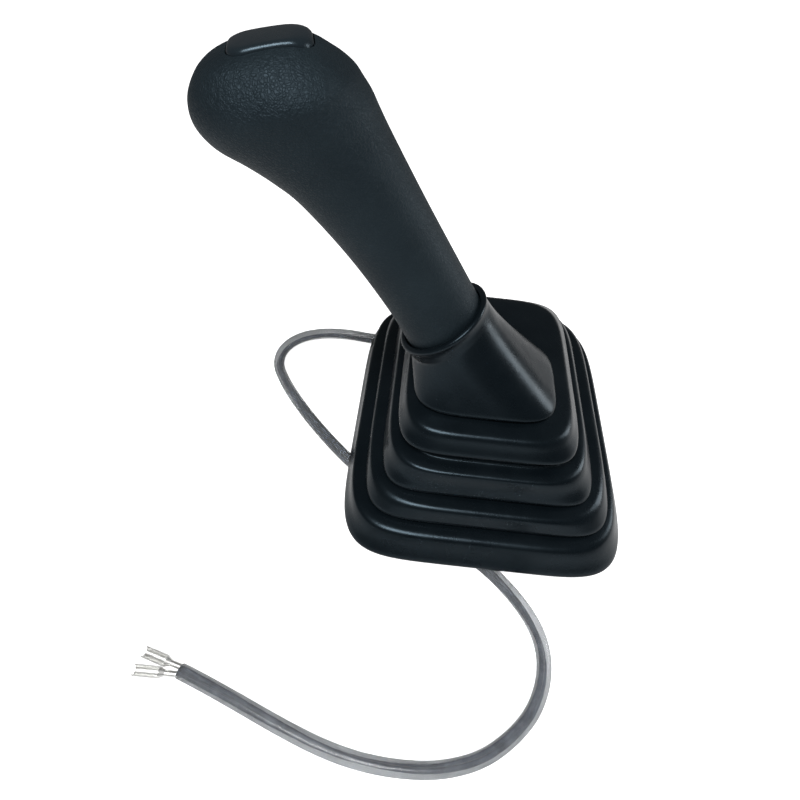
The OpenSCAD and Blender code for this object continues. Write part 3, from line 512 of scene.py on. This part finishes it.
outer_levels = [
    (Z0, W0 - 1, X0 + 0.8, B0 - 1.5, 6, SS), (Z0 + 1.2, W0, X0 + 0.8, B0 - 1.5, 6, SS),
    (13, W0 - 2.4, X0 + 0.5, B0 - 1.1, 5.8, SS), (18.2, W0 - 3.7, X0, B0 - 0.7, 5.5, SS),
    (20, W0 - 4.6, X0, B0 - 0.4, 5.5, SS), (20.9, W0 - 6.6, X0, B0, 5.5, SS / 2),
    (21.2, W3 - 4.8, X0, B0, 6), (22.2, W3 - 4.8, X0, B0, 6.5), (22.4, W3 - 1.2, X0, B0, 7),
    (23.3, W3, X0, B0, 7), (27, W3 - 1, X0, B0, 6), (30, W3 - 1.7, X0, B0, 5.2),
    (31.3, W3 - 2.8, X0, B0, 5), (31.9, W3 - 4.6, X0, B0, 5), (32.1, W2 - 4.4, X0, B0, 6),
    (33, W2 - 4.4, X0, B0, 7), (33.2, W2 - 1.2, X0, B0, 7.5), (34.2, W2, X0, B0, 7.5),
    (39.5, W2 - 2.1, X0, B0, 6), (44, W2 - 3.1, X0, B0 - 0.5, 5.2), (45.9, W2 - 4.2, X0, B0 - 1, 5),
    (46.6, W2 - 6, X0, B0 - 1, 5), (47.2, W1 - 3.4, X0, B0 - 1.5, 5.4),
    (47.9, W1 - 4.2, X0, B0 - 1.5, 5.6), (50.9, W1 - 4.2, X0, B0 - 1.5, 5.6), (51.9, W1 - 4.2, X0, B0 - 1.5, 6),
    (52.1, W1 - 1.2, X0 - 1.5, B0 - 1.5, 6), (53.1, W1, X0 - 1.8, B0 - 1.8, 6),
    (57.5, W1 - 2.4, X0 - 3.5, B0 - 3.5, 5.5), (61, W1 - 3.6, X0 - 5, B0 - 5, 5),
    (62.4, W1 - 4.8, X0 - 5.5, B0 - 5.5, 5), (63, W1 - 6.6, X0 - 6, B0 - 5.8, 5),
    (64.5, WC - 3.6, CE, -3, 4.4, CS), (65.3, WC - 3.6, CE, -3, 4.2, CS), (65.5, WC - 1, CE, -3, 4, CS),
    (66.5, WC, CE, -3, 3.8, CS)]
inner_levels = [
    (68.2, WC - 2.4, CE, -3, 3.8, CS), (68.2, WC - 5.8, CE, -3, 4.4, CS), (62, WC - 5.8, CE, -3, 4.6, CS),
    (60.4, W1 - 8.6, X0 - 6, B0 - 5.8, 5), (59.6, W1 - 7, X0 - 5.5, B0 - 5.5, 5),
    (54.8, W1 - 3, X0 - 1.8, B0 - 1.8, 6), (54.8, W1 - 6.6, X0 - 1.8, B0 - 1.5, 6),
    (47.2, W1 - 6.6, X0, B0 - 1.5, 6), (43.9, W2 - 8.2, X0, B0 - 1, 5), (43, W2 - 6.6, X0, B0 - 0.5, 5),
    (36, W2 - 3.2, X0, B0, 7.5), (36, W2 - 6.8, X0, B0, 7), (29.6, W2 - 6.8, X0, B0, 6),
    (29.3, W3 - 5.6, X0, B0, 5), (25.1, W3 - 3.2, X0, B0, 7), (25.1, W3 - 7.2, X0, B0, 6),
    (18.6, W3 - 7.2, X0, B0, 6), (18.2, W0 - 8.6, X0, B0, 6), (12.3, W0 - 8.6, X0, B0, 6.5),
    (12.3, W0 - 6.2, X0, B0, 8), (9.7, W0 - 6.2, X0, B0, 8), (9.7, W0 - 10.6, X0, B0, 6.5),
    (Z0, W0 - 10.6, X0, B0, 6.5)]
outer = [boot_ring(*r) for r in outer_levels]
neck = collar_ring(COLLAR, COLLAR_R + collar_rows[0][1])
collar = [collar_ring(COLLAR + s, COLLAR_R + r) for s, r in collar_rows]
cone = between(outer[-1], neck, 6, 1.15)
inner = [boot_ring(*r) for r in inner_levels]
inner_neck = collar_ring(COLLAR, COLLAR_R)
inner_cone = between(inner_neck, inner[0], 5, 0.85)

# The split is the root under the top pleat's crest: outer level SPLIT, and inside between the
# levels above and below INNER_SPLIT
SPLIT, INNER_SPLIT = 24, 7
split_out = outer[SPLIT]
above, below = inner[INNER_SPLIT - 1], inner[INNER_SPLIT]
share = (split_out[0, 2] - below[0, 2]) / (above[0, 2] - below[0, 2])
split_in = above * share + below * (1 - share)
lower = chaikin(outer[:SPLIT] + [split_out], 2)
lower_in = chaikin([split_in] + inner[INNER_SPLIT:], 1)
rows = np.concatenate([lower, lower_in])
boot_lower = add("boot_lower", rows.reshape(-1, 3),
                 grid_faces(len(rows), BOOT_SIDES, closed_rings=True), boot_mat)
upper = chaikin([split_out] + outer[SPLIT + 1:] + cone + [neck] + collar, 2)
upper_in = chaikin([inner_neck] + inner_cone + inner[:INNER_SPLIT] + [split_in], 1)
rows = np.concatenate([upper, upper_in])
boot_upper = add("boot_upper", rows.reshape(-1, 3),
                 grid_faces(len(rows), BOOT_SIDES, closed_rings=True), boot_mat)
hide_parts("boot")
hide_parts("boot")
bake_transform(boot_lower)
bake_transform(boot_upper)


# ---------- finishes of the CAD nodes that stay ----------
def metal(name, color, rough, scale=900, grain=0.12):
    """Machined metal with uneven gloss and a fine grain."""
    m, t, b = material(name, color, rough, 0.5, 1.0)
    r = ramp(t, noise(t, scale, 3), [(0.3, max(0.05, rough - 0.08)), (0.75, rough + 0.1)])
    t.links.new(r, b.inputs["Roughness"])
    bump(t, b, noise(t, scale * 1.7, 2), grain, 0.0002)
    return m


def plastic(name, color, rough):
    """Moulded plastic with a fine mould texture."""
    m, t, b = material(name, color, rough, 0.4)
    bump(t, b, noise(t, 1400, 3), 0.15, 0.0003)
    r = ramp(t, noise(t, 120, 3), [(0.3, rough - 0.05), (0.75, rough + 0.08)])
    t.links.new(r, b.inputs["Roughness"])
    return m


def black_paint():
    """Semi-matt paint with a slight orange peel."""
    m, t, b = material("black_paint", (0.02, 0.022, 0.025), 0.4, 0.45)
    bump(t, b, noise(t, 700, 3), 0.2, 0.0004)
    return m


finishes = {
    "black_steel": black_paint(),
    "alloy": metal("machined_alloy", (0.72, 0.73, 0.75), 0.34),
    "cap_steel": metal("black_oxide", (0.06, 0.06, 0.065), 0.42),
    "bronze": metal("turned_bronze", (0.72, 0.52, 0.28), 0.3),
    "steel": metal("turned_steel", (0.58, 0.59, 0.61), 0.3),
    "black_plastic": plastic("moulded_black", (0.018, 0.02, 0.024), 0.5),
    "switch_red": plastic("red_plunger", (0.55, 0.05, 0.04), 0.35),
    "tinned": metal("tinned_strip", (0.86, 0.86, 0.84), 0.42, 500, 0.2),
    "boot_rubber": boot_mat,
    "grip_skin": grip_mat,
    "sheath": sheath_mat,
    "cores": core_mat}
slots = {s["node"]: s["material_slot"] for s in frame["record"]["subparts"]}
for name, o in frame["nodes"].items():
    if o.type == "MESH":
        o.data.materials.clear()
        o.data.materials.append(finishes[slots[name]])

# ---------- floor, world and lights ----------
FLOOR_HALF, FLOOR_DROP, FLOOR_GLOW = 3, 0.0004, 0.9     # metres, metres, strength for camera rays
WORLD_STRENGTH = 0.1

floor_mat, t, b = material("floor_white", (0.86, 0.86, 0.86), 0.9, 0.0)
out = t.nodes["Material Output"]
light_path = t.nodes.new("ShaderNodeLightPath")
glow = node(t, "ShaderNodeEmission", Color=(1, 1, 1, 1))
camera_only = math_node(t, "MULTIPLY", light_path.outputs["Is Camera Ray"], FLOOR_GLOW)
t.links.new(camera_only, glow.inputs["Strength"])
both = t.nodes.new("ShaderNodeAddShader")
t.links.new(b.outputs[0], both.inputs[0])
t.links.new(glow.outputs[0], both.inputs[1])
t.links.new(both.outputs[0], out.inputs["Surface"])
corners = [(x * FLOOR_HALF, y * FLOOR_HALF, -FLOOR_DROP) for x, y in ((-1, -1), (1, -1), (1, 1), (-1, 1))]
floor = add("floor", corners, [(0, 1, 2, 3)], floor_mat, smooth=False, scale=1.0)

world = bpy.data.worlds.new("studio")
scene.world = world
world.use_nodes = True
back = world.node_tree.nodes["Background"]
back.inputs["Color"].default_value = (1, 1, 1, 1)
back.inputs["Strength"].default_value = WORLD_STRENGTH


def lamp(name, place, aim, size, power):
    """Rectangular area lamp at place, turned to aim; metres and watts."""
    d = bpy.data.lights.new(name, "AREA")
    d.shape = "RECTANGLE"
    d.size, d.size_y = size
    d.energy = power
    o = bpy.data.objects.new(name, d)
    scene.collection.objects.link(o)
    o.location = place
    o.rotation_euler = (Vector(aim) - Vector(place)).to_track_quat("-Z", "Y").to_euler()


lamp("overhead", (-0.2, -0.5, 1.0), (0, 0, 0.05), (0.45, 0.45), 12)
lamp("right_side", (0.8, 0.25, 0.4), (0, 0, 0.08), (0.25, 0.6), 3)

scene.view_settings.view_transform = "Standard"
bpy.context.view_layer.update()
